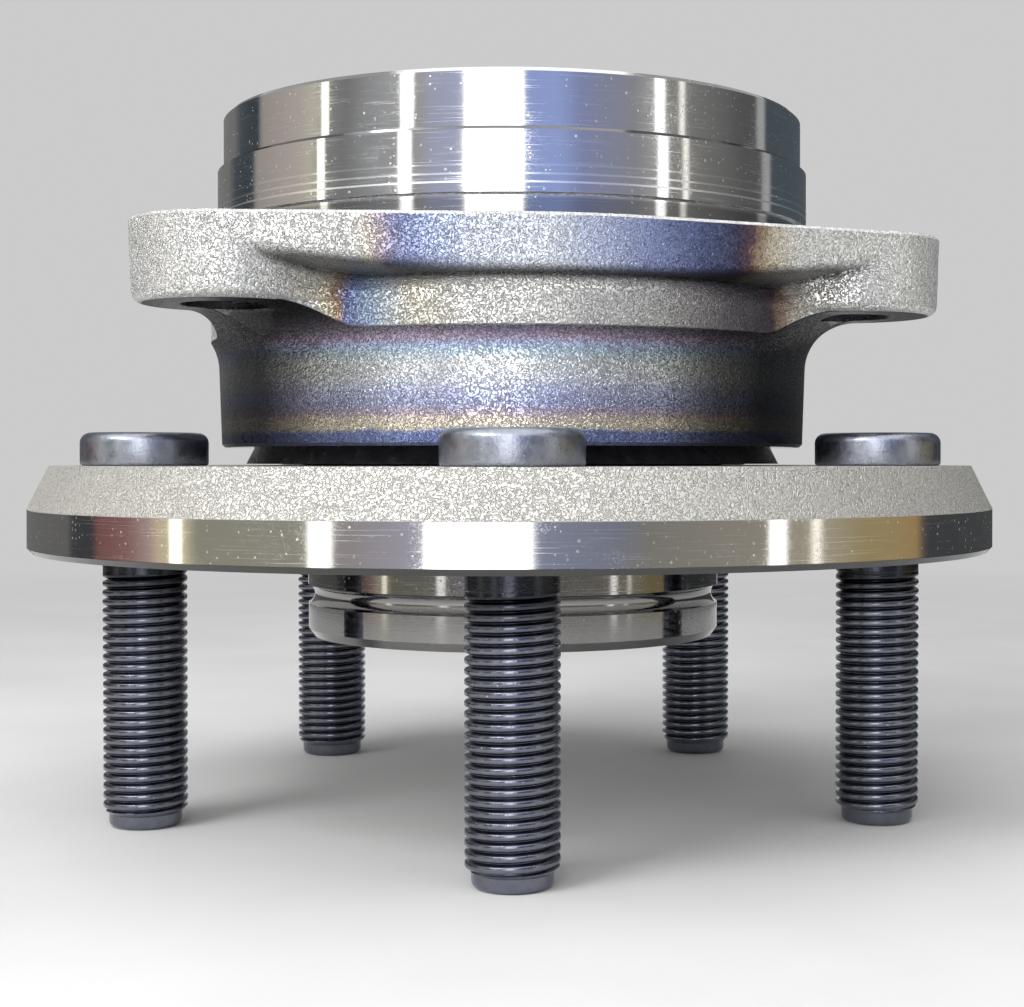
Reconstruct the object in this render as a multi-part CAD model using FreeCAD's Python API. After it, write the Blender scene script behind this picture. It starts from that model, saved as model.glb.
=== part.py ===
import FreeCAD
import Part
import math
import os

# Driven wheel hub unit with a double-row angular-contact ball bearing.
# The origin is the centre of the wheel mounting face. Z runs inboard, the studs point to -Z,
# and the first stud points to -Y. Sizes are in millimetres and angles in degrees.

# Wheel flange
wheel_flange_r = 82.05
wheel_flange_t = 14.2
rim_band_h = 7.1
rim_top_r = 78.6
rim_chamfer = 0.9
flange_root_fillet = 3.0

# Wheel pilot ring on the outboard side
wheel_pilot_r = 35.7
brake_pilot_r = 35.8
brake_pilot_l = 6.25
pilot_groove_w = 3.15
pilot_groove_d = 1.0
wheel_pilot_l = 4.3
pilot_lead_l = 1.4
pilot_lead_r = 1.0
pilot_root_relief = 0.6

# Wheel studs
stud_count = 5
stud_first_angle = -90.0
stud_circle_r = 63.5
stud_thread_r = 6.95
stud_knurl_r = 7.3
stud_reach = 44.7
stud_dog_r = 5.85
stud_dog_l = 4.0
stud_dog_chamfer = 0.7
stud_head_r = 10.3
stud_head_h = 5.4
stud_head_edge = 1.7
stud_head_foot = 0.5
stud_hole_chamfer = 0.6

# Bearing
ball_r = 6.35
ball_count = 15
pitch_r = 37.0
row_spread = 27.0
bearing_mid_z = 45.0
contact_angle = 38.0
race_conformity = 1.04
race_play = 0.05
race_shoulder_h = 3.8
race_lip_h = 0.35

# Outer ring: barrel, spigot and seal seats
ring_end_gap = 3.1
barrel_end_r = 50.2
barrel_top_r = 50.8
barrel_edge = 0.3
turned_fillet = 8.5
spigot_r = 51.0
spigot_l = 10.2
lead_in_r = 50.0
lead_in_l = 8.75
spigot_step = 0.6
spigot_chamfer = 0.6
spigot_root_l = 5.0
relief_w = 2.7
relief_d = 0.7
relief_sink = 0.4
seal_seat_step = 0.15
seal_seat_l = 6.4
seal_seat_chamfer = 0.4

# Knuckle flange: machined between the face and the lobe undersides, forged elsewhere
knuckle_face_z = 51.55
lobe_t = 12.7
lobe_count = 3
lobe_first_angle = -18.0
lobe_circle_r = 59.0
lobe_end_r = 14.5
plate_r = 52.6
plate_t = 8.25
plate_edge = 2.2
plate_inset = 0.3
plate_rise = 0.2
face_edge = 0.45
web_r = 52.15
web_waist = 2.2
web_waist_l = 4.6
web_waist_steps = 6
web_overlap = 0.8
web_edge = 1.6
web_edge_steps = 4
web_blend_r = 12.0
forging_draft = 0.45
bolt_hole_r = 6.2
bolt_hole_chamfer = 0.8

# Hub spindle: splined bore, nut recess and the end that is formed over the inner ring
nut_recess_r = 26.0
nut_seat_z = 1.0
nut_recess_chamfer = 0.8
spline_teeth = 30
spline_module = 1.06
spline_pressure_angle = 30.0
spline_l = 59.0
spline_lead = 1.6
shaft_bore_r = 17.6
spindle_r = 24.0
spindle_fillet = 1.2
inner_ring_chamfer = 1.8
inner_ring_edge = 0.6
inner_ring_l = 24.6
formed_end_h = 3.4
formed_end_r = 30.5
formed_end_edge = 2.0

# Cages
cage_pocket_play = 0.15
cage_wall_gap = 0.8
cage_base_l = 7.6
cage_base_depth = 3.2
cage_prong_l = 3.6
cage_prong_half_w = 2.1
cage_slot_w = 1.4
cage_slot_depth = 2.6

# Seals
sheet_t = 0.8
seal_case_l = 4.4
seal_inset = 0.2
rubber_t = 1.3
lip_t = 0.55
lip_gap = 0.3
flinger_top_r = 44.9
flinger_tip_r = 46.3
slinger_cage_gap = 0.5
slinger_rim_gap = 0.6
encoder_t = 1.0
encoder_w = 5.7

# Fits
press_bite = 0.02

# Places worked out from the sizes above
ring_end_z = wheel_flange_t + ring_end_gap
lobe_bottom_z = knuckle_face_z - lobe_t
plate_bottom_z = knuckle_face_z - plate_t
web_top_z = plate_bottom_z + web_overlap
spigot_start_z = knuckle_face_z + relief_w
spigot_end_z = spigot_start_z + spigot_l
ring_top_z = spigot_end_z + lead_in_l
outboard_row_z = bearing_mid_z - row_spread / 2
inboard_row_z = bearing_mid_z + row_spread / 2
groove_r = ball_r * race_conformity
groove_shift = groove_r - ball_r - race_play
shift_r = groove_shift * math.cos(math.radians(contact_angle))
shift_z = groove_shift * math.sin(math.radians(contact_angle))
outer_groove_bottom_r = pitch_r - shift_r + groove_r
inner_groove_bottom_r = pitch_r + shift_r - groove_r
seal_seat_r = outer_groove_bottom_r + seal_seat_step
outer_shoulder_r = outer_groove_bottom_r - race_shoulder_h
inner_shoulder_r = inner_groove_bottom_r + race_shoulder_h
outer_lip_r = outer_groove_bottom_r - race_lip_h
inner_lip_r = inner_groove_bottom_r + race_lip_h
inner_ring_end_z = bearing_mid_z + inner_ring_l
hub_end_z = inner_ring_end_z + formed_end_h
pilot_groove_z = -brake_pilot_l - pilot_groove_w / 2
wheel_pilot_end_z = -brake_pilot_l - pilot_groove_w - wheel_pilot_l
pilot_end_z = wheel_pilot_end_z - pilot_lead_l
spline_pitch_r = spline_teeth * spline_module / 2
spline_tip_r = spline_pitch_r - spline_module / 2
spline_root_r = spline_pitch_r + 0.75 * spline_module
spline_end_z = nut_seat_z + spline_l

ORIGIN = FreeCAD.Vector(0, 0, 0)
AXIS = FreeCAD.Vector(0, 0, 1)


def polar(radius, angle, z=0.0):
    """Point at a radius and an angle in degrees."""
    turn = math.radians(angle)
    return FreeCAD.Vector(radius * math.cos(turn), radius * math.sin(turn), z)


def section_wire(points):
    """Closed wire in the XZ plane through (r, z) points; a third number rounds that corner."""
    corners = []
    for i, point in enumerate(points):
        here = FreeCAD.Vector(point[0], 0, point[1])
        radius = point[2] if len(point) > 2 else 0
        if radius == 0:
            corners.append((here, None, here))
            continue
        before = points[i - 1]
        after = points[(i + 1) % len(points)]
        back = (FreeCAD.Vector(before[0], 0, before[1]) - here).normalize()
        ahead = (FreeCAD.Vector(after[0], 0, after[1]) - here).normalize()
        half_angle = back.getAngle(ahead) / 2
        trim = radius / math.tan(half_angle)
        inward = (back + ahead).normalize()
        crown = here + inward * (radius / math.sin(half_angle) - radius)
        corners.append((here + back * trim, crown, here + ahead * trim))
    edges = []
    for i, (enter, crown, leave) in enumerate(corners):
        if crown is not None:
            edges.append(Part.Arc(enter, crown, leave).toShape())
        target = corners[(i + 1) % len(corners)][0]
        edges.append(Part.makeLine(leave, target))
    return Part.Wire(edges)


def revolved(points):
    """Solid of revolution about Z from a section."""
    return Part.Face(section_wire(points)).revolve(ORIGIN, AXIS, 360)


def torus(centre_r, tube_r, z):
    """Ring-shaped cutter for a raceway or a round groove."""
    return Part.makeTorus(centre_r, tube_r, FreeCAD.Vector(0, 0, z), AXIS)


def around(shape, count, first_angle=0.0):
    """Copies of a shape that was made at angle 0, evenly spaced about Z."""
    copies = []
    for i in range(count):
        copy = shape.copy()
        copy.rotate(ORIGIN, AXIS, first_angle + i * 360 / count)
        copies.append(copy)
    return copies


def flipped(points, row_z, outward):
    """Section points given from a ball row towards its seal, placed in Z."""
    return [(point[0], row_z + outward * point[1]) + tuple(point[2:]) for point in points]


# Forged outlines of the knuckle flange

def plate_wire(disc_r, end_r, z):
    """Disc and lobe ends joined by straight tangents."""
    half = math.degrees(math.acos((disc_r - end_r) / lobe_circle_r))
    step = 360 / lobe_count
    edges = []
    for i in range(lobe_count):
        angle = lobe_first_angle + i * step
        centre = polar(lobe_circle_r, angle, z)
        start = centre + polar(end_r, angle - half)
        middle = centre + polar(end_r, angle)
        end = centre + polar(end_r, angle + half)
        disc_start = polar(disc_r, angle + half, z)
        disc_middle = polar(disc_r, angle + step / 2, z)
        disc_end = polar(disc_r, angle + step - half, z)
        next_centre = polar(lobe_circle_r, angle + step, z)
        next_start = next_centre + polar(end_r, angle + step - half)
        edges.append(Part.Arc(start, middle, end).toShape())
        edges.append(Part.makeLine(end, disc_start))
        edges.append(Part.Arc(disc_start, disc_middle, disc_end).toShape())
        edges.append(Part.makeLine(disc_end, next_start))
    return Part.Wire(edges)


def web_wire(disc_r, end_r, z):
    """Disc with a block under each lobe, blended into the disc by hollow fillets."""
    reach = math.sqrt((disc_r + web_blend_r) ** 2 - (end_r + web_blend_r) ** 2)
    blend_angle = math.degrees(math.atan2(end_r + web_blend_r, reach))
    step = 360 / lobe_count
    edges = []
    for i in range(lobe_count):
        angle = lobe_first_angle + i * step

        def place(along, across):
            return polar(along, angle, z) + polar(across, angle + 90)

        blend_centre = place(reach, end_r + web_blend_r)
        other_centre = place(reach, -end_r - web_blend_r)
        disc_point = polar(disc_r, angle + blend_angle, z)
        other_disc_point = polar(disc_r, angle - blend_angle, z)
        side_point = place(reach, end_r)
        other_side_point = place(reach, -end_r)
        blend_middle = blend_centre + middle_direction(blend_centre, disc_point, side_point)
        other_middle = other_centre + middle_direction(other_centre, other_disc_point, other_side_point)
        edges.append(Part.Arc(other_disc_point, other_middle, other_side_point).toShape())
        edges.append(Part.makeLine(other_side_point, place(lobe_circle_r, -end_r)))
        edges.append(Part.Arc(place(lobe_circle_r, -end_r), place(lobe_circle_r + end_r, 0),
                              place(lobe_circle_r, end_r)).toShape())
        edges.append(Part.makeLine(place(lobe_circle_r, end_r), side_point))
        edges.append(Part.Arc(side_point, blend_middle, disc_point).toShape())
        next_point = polar(disc_r, angle + step - blend_angle, z)
        edges.append(Part.Arc(disc_point, polar(disc_r, angle + step / 2, z), next_point).toShape())
    return Part.Wire(edges)


def middle_direction(centre, first, second):
    """From an arc's centre to the arc's middle."""
    toward = (first - centre).normalize() + (second - centre).normalize()
    return toward.normalize() * (first - centre).Length


def flange_plate():
    """Upper plate of the knuckle flange: its underside rises outwards and its lower edge is rounded."""
    start_r = web_r - web_waist - plate_edge
    far_r = lobe_circle_r + 2 * lobe_end_r
    low_z = plate_bottom_z - plate_rise * (plate_r - start_r)
    bottom = plate_wire(plate_r - forging_draft, lobe_end_r - plate_inset - forging_draft, low_z)
    top = plate_wire(plate_r, lobe_end_r - plate_inset, knuckle_face_z)
    underside = revolved([
        (start_r, low_z - 1),
        (far_r, low_z - 1),
        (far_r, plate_bottom_z + plate_rise * (far_r - plate_r)),
        (start_r, low_z),
    ])
    plate = Part.makeLoft([bottom, top], True, True).cut(underside)
    lower_edges = [e for e in plate.Edges
                   if e.BoundBox.ZMax < knuckle_face_z - 1 and e.BoundBox.ZMin > low_z + 0.1]
    return plate.makeFillet(plate_edge, lower_edges)


def web_sizes(z):
    """Disc radius and lobe end radius of the web at a height: waisted above, rounded at the lobes' lower edge."""
    waist_z = web_top_z - web_waist_l
    up = min(1, max(0, (z - waist_z) / web_waist_l))
    disc_r = web_r - web_waist * (1 - math.cos(math.pi * up)) / 2
    below = min(web_edge, max(0, lobe_bottom_z + web_edge - z))
    inset = web_edge - math.sqrt(web_edge ** 2 - below ** 2)
    draft = forging_draft * (knuckle_face_z - z) / lobe_t
    return disc_r, lobe_end_r - draft - inset


def flange_web():
    """Gusseted web under the plate, lofted through its levels."""
    heights = [lobe_bottom_z - turned_fillet - 1, knuckle_face_z]
    for i in range(web_edge_steps + 1):
        heights.append(lobe_bottom_z + web_edge * (1 - math.cos(math.pi / 2 * i / web_edge_steps)))
    for i in range(web_waist_steps + 1):
        heights.append(web_top_z - web_waist_l * (1 - i / web_waist_steps))
    wires = [web_wire(*web_sizes(z), z) for z in sorted(heights)]
    return Part.makeLoft(wires, True, True)


def turning_cut():
    """What the lathe takes off outside the barrel, up to the undersides of the lobes."""
    far_r = lobe_circle_r + 2 * lobe_end_r
    below_z = ring_end_z - 5
    fillet_r = barrel_top_r + turned_fillet
    fillet_z = lobe_bottom_z - turned_fillet
    elbow = turned_fillet * (1 - math.sqrt(0.5))
    edges = [
        Part.makeLine(FreeCAD.Vector(far_r, 0, below_z), FreeCAD.Vector(far_r, 0, lobe_bottom_z)),
        Part.makeLine(FreeCAD.Vector(far_r, 0, lobe_bottom_z), FreeCAD.Vector(fillet_r, 0, lobe_bottom_z)),
        Part.Arc(FreeCAD.Vector(fillet_r, 0, lobe_bottom_z),
                 FreeCAD.Vector(barrel_top_r + elbow, 0, lobe_bottom_z - elbow),
                 FreeCAD.Vector(barrel_top_r, 0, fillet_z)).toShape(),
        Part.makeLine(FreeCAD.Vector(barrel_top_r, 0, fillet_z), FreeCAD.Vector(barrel_end_r, 0, below_z)),
        Part.makeLine(FreeCAD.Vector(barrel_end_r, 0, below_z), FreeCAD.Vector(far_r, 0, below_z)),
    ]
    return Part.Face(Part.Wire(edges)).revolve(ORIGIN, AXIS, 360)


def outer_ring():
    """Stationary ring: barrel, three-lobed knuckle flange, spigot, two raceways and two seal seats."""
    barrel = revolved([
        (outer_shoulder_r, ring_end_z),
        (web_r, ring_end_z),
        (web_r, lobe_bottom_z),
        (outer_shoulder_r, lobe_bottom_z),
    ])
    core = Part.makeCylinder(outer_shoulder_r + 1, ring_top_z - ring_end_z, FreeCAD.Vector(0, 0, ring_end_z))
    body = barrel.fuse([flange_web(), flange_plate(), core])
    body = body.cut(turning_cut())
    face_edges = [e for e in body.Edges
                  if e.BoundBox.ZMin > knuckle_face_z - 0.01 and e.BoundBox.ZMax < knuckle_face_z + 0.01]
    body = body.makeChamfer(face_edge, face_edges)
    spigot = revolved([
        (outer_shoulder_r, knuckle_face_z - spigot_root_l),
        (spigot_r - relief_d, knuckle_face_z - spigot_root_l),
        (spigot_r - relief_d, spigot_start_z),
        (spigot_r, spigot_start_z + relief_d / 2),
        (spigot_r, spigot_end_z - spigot_step),
        (lead_in_r, spigot_end_z),
        (lead_in_r, ring_top_z - spigot_chamfer),
        (lead_in_r - spigot_chamfer, ring_top_z),
        (outer_shoulder_r, ring_top_z),
    ])
    sink = revolved([
        (spigot_r - relief_d, knuckle_face_z - relief_sink),
        (spigot_r + relief_sink, knuckle_face_z - relief_sink),
        (spigot_r + relief_sink, knuckle_face_z + relief_w / 2),
        (spigot_r - relief_d, knuckle_face_z + relief_w / 2),
    ])
    body = body.fuse(spigot).cut(sink)
    end_edge = revolved([
        (barrel_end_r - barrel_edge, ring_end_z),
        (barrel_end_r + 1, ring_end_z - 1),
        (barrel_end_r + 1, ring_end_z + 1 + barrel_edge),
    ])
    cutters = [outer_bore(), end_edge]
    for row_z, outward in ((outboard_row_z, -1), (inboard_row_z, 1)):
        cutters.append(torus(pitch_r - shift_r, groove_r, row_z + outward * shift_z))
    cutters += around(bolt_hole(), lobe_count, lobe_first_angle)
    return body.cut(cutters).removeSplitter()


def outer_bore():
    """Everything inside the outer ring: shoulder between the rows, lips, seal seats and chamfers."""
    past = 1.0
    return revolved([
        (0, ring_end_z - past),
        (seal_seat_r + seal_seat_chamfer + past, ring_end_z - past),
        (seal_seat_r, ring_end_z + seal_seat_chamfer),
        (seal_seat_r, ring_end_z + seal_seat_l),
        (outer_lip_r, ring_end_z + seal_seat_l),
        (outer_lip_r, outboard_row_z),
        (outer_shoulder_r, outboard_row_z),
        (outer_shoulder_r, inboard_row_z),
        (outer_lip_r, inboard_row_z),
        (outer_lip_r, ring_top_z - seal_seat_l),
        (seal_seat_r, ring_top_z - seal_seat_l),
        (seal_seat_r, ring_top_z - seal_seat_chamfer),
        (seal_seat_r + seal_seat_chamfer + past, ring_top_z + past),
        (0, ring_top_z + past),
    ])


def bolt_hole():
    """Tapped hole through a lobe, with a chamfer at each end."""
    past = 1.0
    wide_r = bolt_hole_r + bolt_hole_chamfer + past
    hole = revolved([
        (0, lobe_bottom_z - past),
        (wide_r, lobe_bottom_z - past),
        (bolt_hole_r, lobe_bottom_z + bolt_hole_chamfer),
        (bolt_hole_r, knuckle_face_z - bolt_hole_chamfer),
        (wide_r, knuckle_face_z + past),
        (0, knuckle_face_z + past),
    ])
    hole.translate(FreeCAD.Vector(lobe_circle_r, 0, 0))
    return hole


def hub_spindle():
    """Rotating hub: wheel flange, pilots, outboard inner raceway, spindle and splined bore."""
    body = revolved([
        (nut_recess_r + nut_recess_chamfer, pilot_end_z),
        (wheel_pilot_r - pilot_lead_r, pilot_end_z),
        (wheel_pilot_r, wheel_pilot_end_z),
        (wheel_pilot_r, pilot_groove_z),
        (brake_pilot_r, pilot_groove_z),
        (brake_pilot_r, -pilot_root_relief * 2),
        (brake_pilot_r - pilot_root_relief, -pilot_root_relief),
        (brake_pilot_r - pilot_root_relief, pilot_root_relief),
        (brake_pilot_r + pilot_root_relief / 2, pilot_root_relief),
        (brake_pilot_r + pilot_root_relief * 1.5, 0),
        (wheel_flange_r - rim_chamfer, 0),
        (wheel_flange_r, rim_chamfer),
        (wheel_flange_r, rim_band_h),
        (rim_top_r, wheel_flange_t),
        (inner_shoulder_r, wheel_flange_t, flange_root_fillet),
        (inner_shoulder_r, outboard_row_z),
        (inner_lip_r, outboard_row_z),
        (inner_lip_r, bearing_mid_z),
        (spindle_r, bearing_mid_z, spindle_fillet),
        (spindle_r, inner_ring_end_z),
        (formed_end_r, inner_ring_end_z),
        (formed_end_r, hub_end_z, formed_end_edge),
        (shaft_bore_r + nut_recess_chamfer, hub_end_z),
        (shaft_bore_r, hub_end_z - nut_recess_chamfer),
        (shaft_bore_r, spline_end_z),
        (spline_tip_r, spline_end_z - spline_lead),
        (spline_tip_r, nut_seat_z + spline_lead),
        (shaft_bore_r, nut_seat_z),
        (nut_recess_r, nut_seat_z),
        (nut_recess_r, pilot_end_z + nut_recess_chamfer),
    ])
    race = torus(pitch_r + shift_r, groove_r, outboard_row_z + shift_z)
    groove_arc_r = (pilot_groove_w ** 2 / 4 + pilot_groove_d ** 2) / (2 * pilot_groove_d)
    groove = torus(wheel_pilot_r - pilot_groove_d + groove_arc_r, groove_arc_r, pilot_groove_z)
    stud_holes = around(stud_hole(), stud_count, stud_first_angle)
    return body.cut([race, groove, spline_cutter()] + stud_holes)


def stud_hole():
    """Hole in the wheel flange that a stud's knurl bites into."""
    past = 1.0
    hole_r = stud_knurl_r - press_bite
    wide_r = hole_r + stud_hole_chamfer + past
    hole = revolved([
        (0, -past),
        (wide_r, -past),
        (hole_r, stud_hole_chamfer),
        (hole_r, wheel_flange_t + past),
        (0, wheel_flange_t + past),
    ])
    hole.translate(FreeCAD.Vector(stud_circle_r, 0, 0))
    return hole


def spline_cutter():
    """Straight-flanked internal spline between the nut seat and the shaft bore."""
    quarter = 90 / spline_teeth
    slope = math.tan(math.radians(spline_pressure_angle))
    root_half = quarter - math.degrees((spline_root_r - spline_pitch_r) * slope / spline_pitch_r)
    tip_half = quarter + math.degrees((spline_pitch_r - spline_tip_r) * slope / spline_pitch_r)
    step = 360 / spline_teeth
    edges = []
    for i in range(spline_teeth):
        angle = i * step
        root_start = polar(spline_root_r, angle - root_half, nut_seat_z)
        root_end = polar(spline_root_r, angle + root_half, nut_seat_z)
        tip_start = polar(spline_tip_r, angle + tip_half, nut_seat_z)
        tip_end = polar(spline_tip_r, angle + step - tip_half, nut_seat_z)
        next_root = polar(spline_root_r, angle + step - root_half, nut_seat_z)
        edges.append(Part.Arc(root_start, polar(spline_root_r, angle, nut_seat_z), root_end).toShape())
        edges.append(Part.makeLine(root_end, tip_start))
        edges.append(Part.Arc(tip_start, polar(spline_tip_r, angle + step / 2, nut_seat_z),
                              tip_end).toShape())
        edges.append(Part.makeLine(tip_end, next_root))
    return Part.Face(Part.Wire(edges)).extrude(AXIS * spline_l)


def inner_ring():
    """Pressed-on ring that carries the inboard inner raceway."""
    bore_r = spindle_r - press_bite
    body = revolved([
        (bore_r + inner_ring_chamfer, bearing_mid_z),
        (inner_lip_r, bearing_mid_z),
        (inner_lip_r, inboard_row_z),
        (inner_shoulder_r, inboard_row_z),
        (inner_shoulder_r, inner_ring_end_z, inner_ring_edge),
        (bore_r, inner_ring_end_z),
        (bore_r, bearing_mid_z + inner_ring_chamfer),
    ])
    return body.cut(torus(pitch_r + shift_r, groove_r, inboard_row_z - shift_z))


def wheel_stud():
    """Press-in stud at angle 0: head, knurled shoulder, threaded shank and dog point."""
    thread_end_z = -stud_reach + stud_dog_l
    head_top_z = wheel_flange_t + stud_head_h
    stud = revolved([
        (0, -stud_reach),
        (stud_dog_r - stud_dog_chamfer, -stud_reach),
        (stud_dog_r, -stud_reach + stud_dog_chamfer),
        (stud_dog_r, thread_end_z),
        (stud_thread_r, thread_end_z + stud_thread_r - stud_dog_r),
        (stud_thread_r, 0),
        (stud_knurl_r, stud_hole_chamfer),
        (stud_knurl_r, wheel_flange_t),
        (stud_head_r, wheel_flange_t, stud_head_foot),
        (stud_head_r, head_top_z, stud_head_edge),
        (0, head_top_z),
    ])
    stud.translate(FreeCAD.Vector(stud_circle_r, 0, 0))
    return stud


def row_balls(row_z):
    """Balls of one row, the first in line with the first stud."""
    ball = Part.makeSphere(ball_r, polar(pitch_r, 0, row_z))
    return around(ball, ball_count, stud_first_angle)


def row_cage(row_z, outward):
    """Snap-in cage: base ring towards the seal, split prongs between the balls."""
    base_in_r = inner_shoulder_r + cage_wall_gap
    base_out_r = outer_lip_r - cage_wall_gap
    prong_in_r = pitch_r - cage_prong_half_w
    prong_out_r = pitch_r + cage_prong_half_w
    body = revolved(flipped([
        (base_in_r, cage_base_l),
        (base_out_r, cage_base_l),
        (base_out_r, cage_base_l - cage_base_depth),
        (prong_out_r, cage_base_l - 2 * cage_base_depth),
        (prong_out_r, -cage_prong_l),
        (prong_in_r, -cage_prong_l),
        (base_in_r - (base_in_r - prong_in_r) / 2, cage_base_l - cage_base_depth),
    ], row_z, outward))
    pocket = Part.makeSphere(ball_r + cage_pocket_play, polar(pitch_r, 0, row_z))
    pockets = around(pocket, ball_count, stud_first_angle)
    slot = Part.makeBox(4 * cage_prong_half_w, cage_slot_w, 2 * cage_slot_depth)
    slot_z = row_z - outward * cage_prong_l - cage_slot_depth
    slot.translate(FreeCAD.Vector(pitch_r - 2 * cage_prong_half_w, -cage_slot_w / 2, slot_z))
    slots = around(slot, ball_count, stud_first_angle + 180 / ball_count)
    return body.cut(pockets + slots)


def seal_case(mouth_z, inward):
    """Steel shell pressed into a seal seat, its radial leg deepest."""
    outer_r = seal_seat_r + press_bite
    near = seal_inset
    far = seal_inset + seal_case_l
    inner_r = inner_shoulder_r + 2.5 * rubber_t
    return revolved(flipped([
        (outer_r, near),
        (outer_r, far),
        (inner_r, far),
        (inner_r, far - sheet_t),
        (outer_r - sheet_t, far - sheet_t),
        (outer_r - sheet_t, near),
    ], mouth_z, inward))


def outboard_seal_lip():
    """Rubber bonded to the outboard shell: outer collar, side lip, main lip and grease lip."""
    case_in_r = seal_seat_r + press_bite - sheet_t
    case_edge_r = inner_shoulder_r + 2.5 * rubber_t
    leg_z = ring_end_z + seal_inset + seal_case_l
    sheet_z = leg_z - sheet_t
    floor_z = sheet_z - rubber_t
    tip_z = wheel_flange_t + lip_gap
    touch_r = inner_shoulder_r + lip_gap
    skirt_z = ring_end_z - rubber_t / 2
    side_lip_r = (case_in_r + case_edge_r) / 2
    return revolved([
        (flinger_top_r, ring_end_z),
        (flinger_tip_r, tip_z),
        (flinger_tip_r - lip_t, tip_z),
        (flinger_top_r - lip_t, skirt_z),
        (case_in_r - rubber_t, skirt_z),
        (case_in_r - rubber_t, floor_z),
        (side_lip_r + lip_t, floor_z),
        (side_lip_r - lip_t, tip_z),
        (side_lip_r - 2 * lip_t, tip_z),
        (side_lip_r - lip_t, floor_z),
        (case_edge_r, floor_z),
        (touch_r + lip_t, floor_z - 1.5 * rubber_t),
        (touch_r, floor_z - rubber_t),
        (case_edge_r - rubber_t, sheet_z - rubber_t / 2),
        (touch_r, leg_z + rubber_t / 2),
        (touch_r + lip_t, leg_z + rubber_t),
        (case_edge_r, leg_z),
        (case_edge_r, sheet_z),
        (case_in_r, sheet_z),
        (case_in_r, ring_end_z + seal_inset),
        (seal_seat_r, ring_end_z + seal_inset),
        (seal_seat_r, ring_end_z),
    ])


def inboard_seal_lip():
    """Rubber bonded to the inboard shell: side lip to the slinger and radial lip to its leg."""
    case_in_r = seal_seat_r + press_bite - sheet_t
    case_edge_r = inner_shoulder_r + 2.5 * rubber_t
    leg_z = ring_top_z - seal_inset - seal_case_l
    sheet_z = leg_z + sheet_t
    roof_z = sheet_z + rubber_t / 2
    tip_z = slinger_plate_z() - lip_gap
    touch_r = inner_shoulder_r + sheet_t + lip_gap
    side_lip_r = (case_in_r + case_edge_r) / 2
    return revolved([
        (case_in_r, sheet_z),
        (case_in_r, roof_z),
        (side_lip_r + lip_t, roof_z),
        (side_lip_r + 2 * lip_t, tip_z),
        (side_lip_r + lip_t, tip_z),
        (side_lip_r - lip_t, roof_z),
        (case_edge_r - lip_t, roof_z),
        (touch_r, roof_z + lip_t),
        (touch_r, roof_z),
        (case_edge_r - rubber_t, leg_z),
        (case_edge_r, leg_z),
        (case_edge_r, sheet_z),
    ])


def slinger_plate_z():
    """Where the slinger's radial plate starts."""
    return ring_top_z - 2 * seal_inset - encoder_t - sheet_t


def inboard_slinger():
    """Steel slinger pressed on the inner ring, with a radial plate that closes the seal."""
    leg_in_r = inner_shoulder_r - press_bite
    plate_r_out = seal_seat_r - sheet_t - slinger_rim_gap
    plate_z = slinger_plate_z()
    leg_end_z = inboard_row_z + cage_base_l + slinger_cage_gap
    return revolved([
        (leg_in_r, leg_end_z),
        (leg_in_r + sheet_t, leg_end_z),
        (leg_in_r + sheet_t, plate_z),
        (plate_r_out, plate_z),
        (plate_r_out, plate_z + sheet_t),
        (leg_in_r, plate_z + sheet_t),
    ])


def encoder_ring():
    """Magnetised speed ring bonded to the slinger's inboard face."""
    outer_r = seal_seat_r - sheet_t - slinger_rim_gap
    low_z = slinger_plate_z() + sheet_t
    return revolved([
        (outer_r - encoder_w, low_z),
        (outer_r, low_z),
        (outer_r, low_z + encoder_t),
        (outer_r - encoder_w, low_z + encoder_t),
    ])


def all_nodes():
    """Every piece by its name."""
    nodes = {
        "outer_ring": outer_ring(),
        "hub_spindle": hub_spindle(),
        "inner_ring": inner_ring(),
        "outboard_cage": row_cage(outboard_row_z, -1),
        "inboard_cage": row_cage(inboard_row_z, 1),
        "outboard_seal_case": seal_case(ring_end_z, 1),
        "outboard_seal_lip": outboard_seal_lip(),
        "inboard_seal_case": seal_case(ring_top_z, -1),
        "inboard_seal_lip": inboard_seal_lip(),
        "inboard_slinger": inboard_slinger(),
        "encoder_ring": encoder_ring(),
    }
    for i, stud in enumerate(around(wheel_stud(), stud_count, stud_first_angle)):
        nodes["wheel_stud_%d" % (i + 1)] = stud
    for side, row_z in (("outboard", outboard_row_z), ("inboard", inboard_row_z)):
        for i, ball in enumerate(row_balls(row_z)):
            nodes["%s_ball_%02d" % (side, i + 1)] = ball
    return nodes


os.makedirs("parts", exist_ok=True)
for name, shape in all_nodes().items():
    shape.exportStep("parts/%s.step" % name)
    box = shape.BoundBox
    print("%-20s solids %d valid %s volume %.1f  z %.2f to %.2f" % (
        name, len(shape.Solids), shape.isValid(), shape.Volume, box.ZMin, box.ZMax))
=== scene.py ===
import bpy
import math
from mathutils import Matrix, Vector


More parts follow.
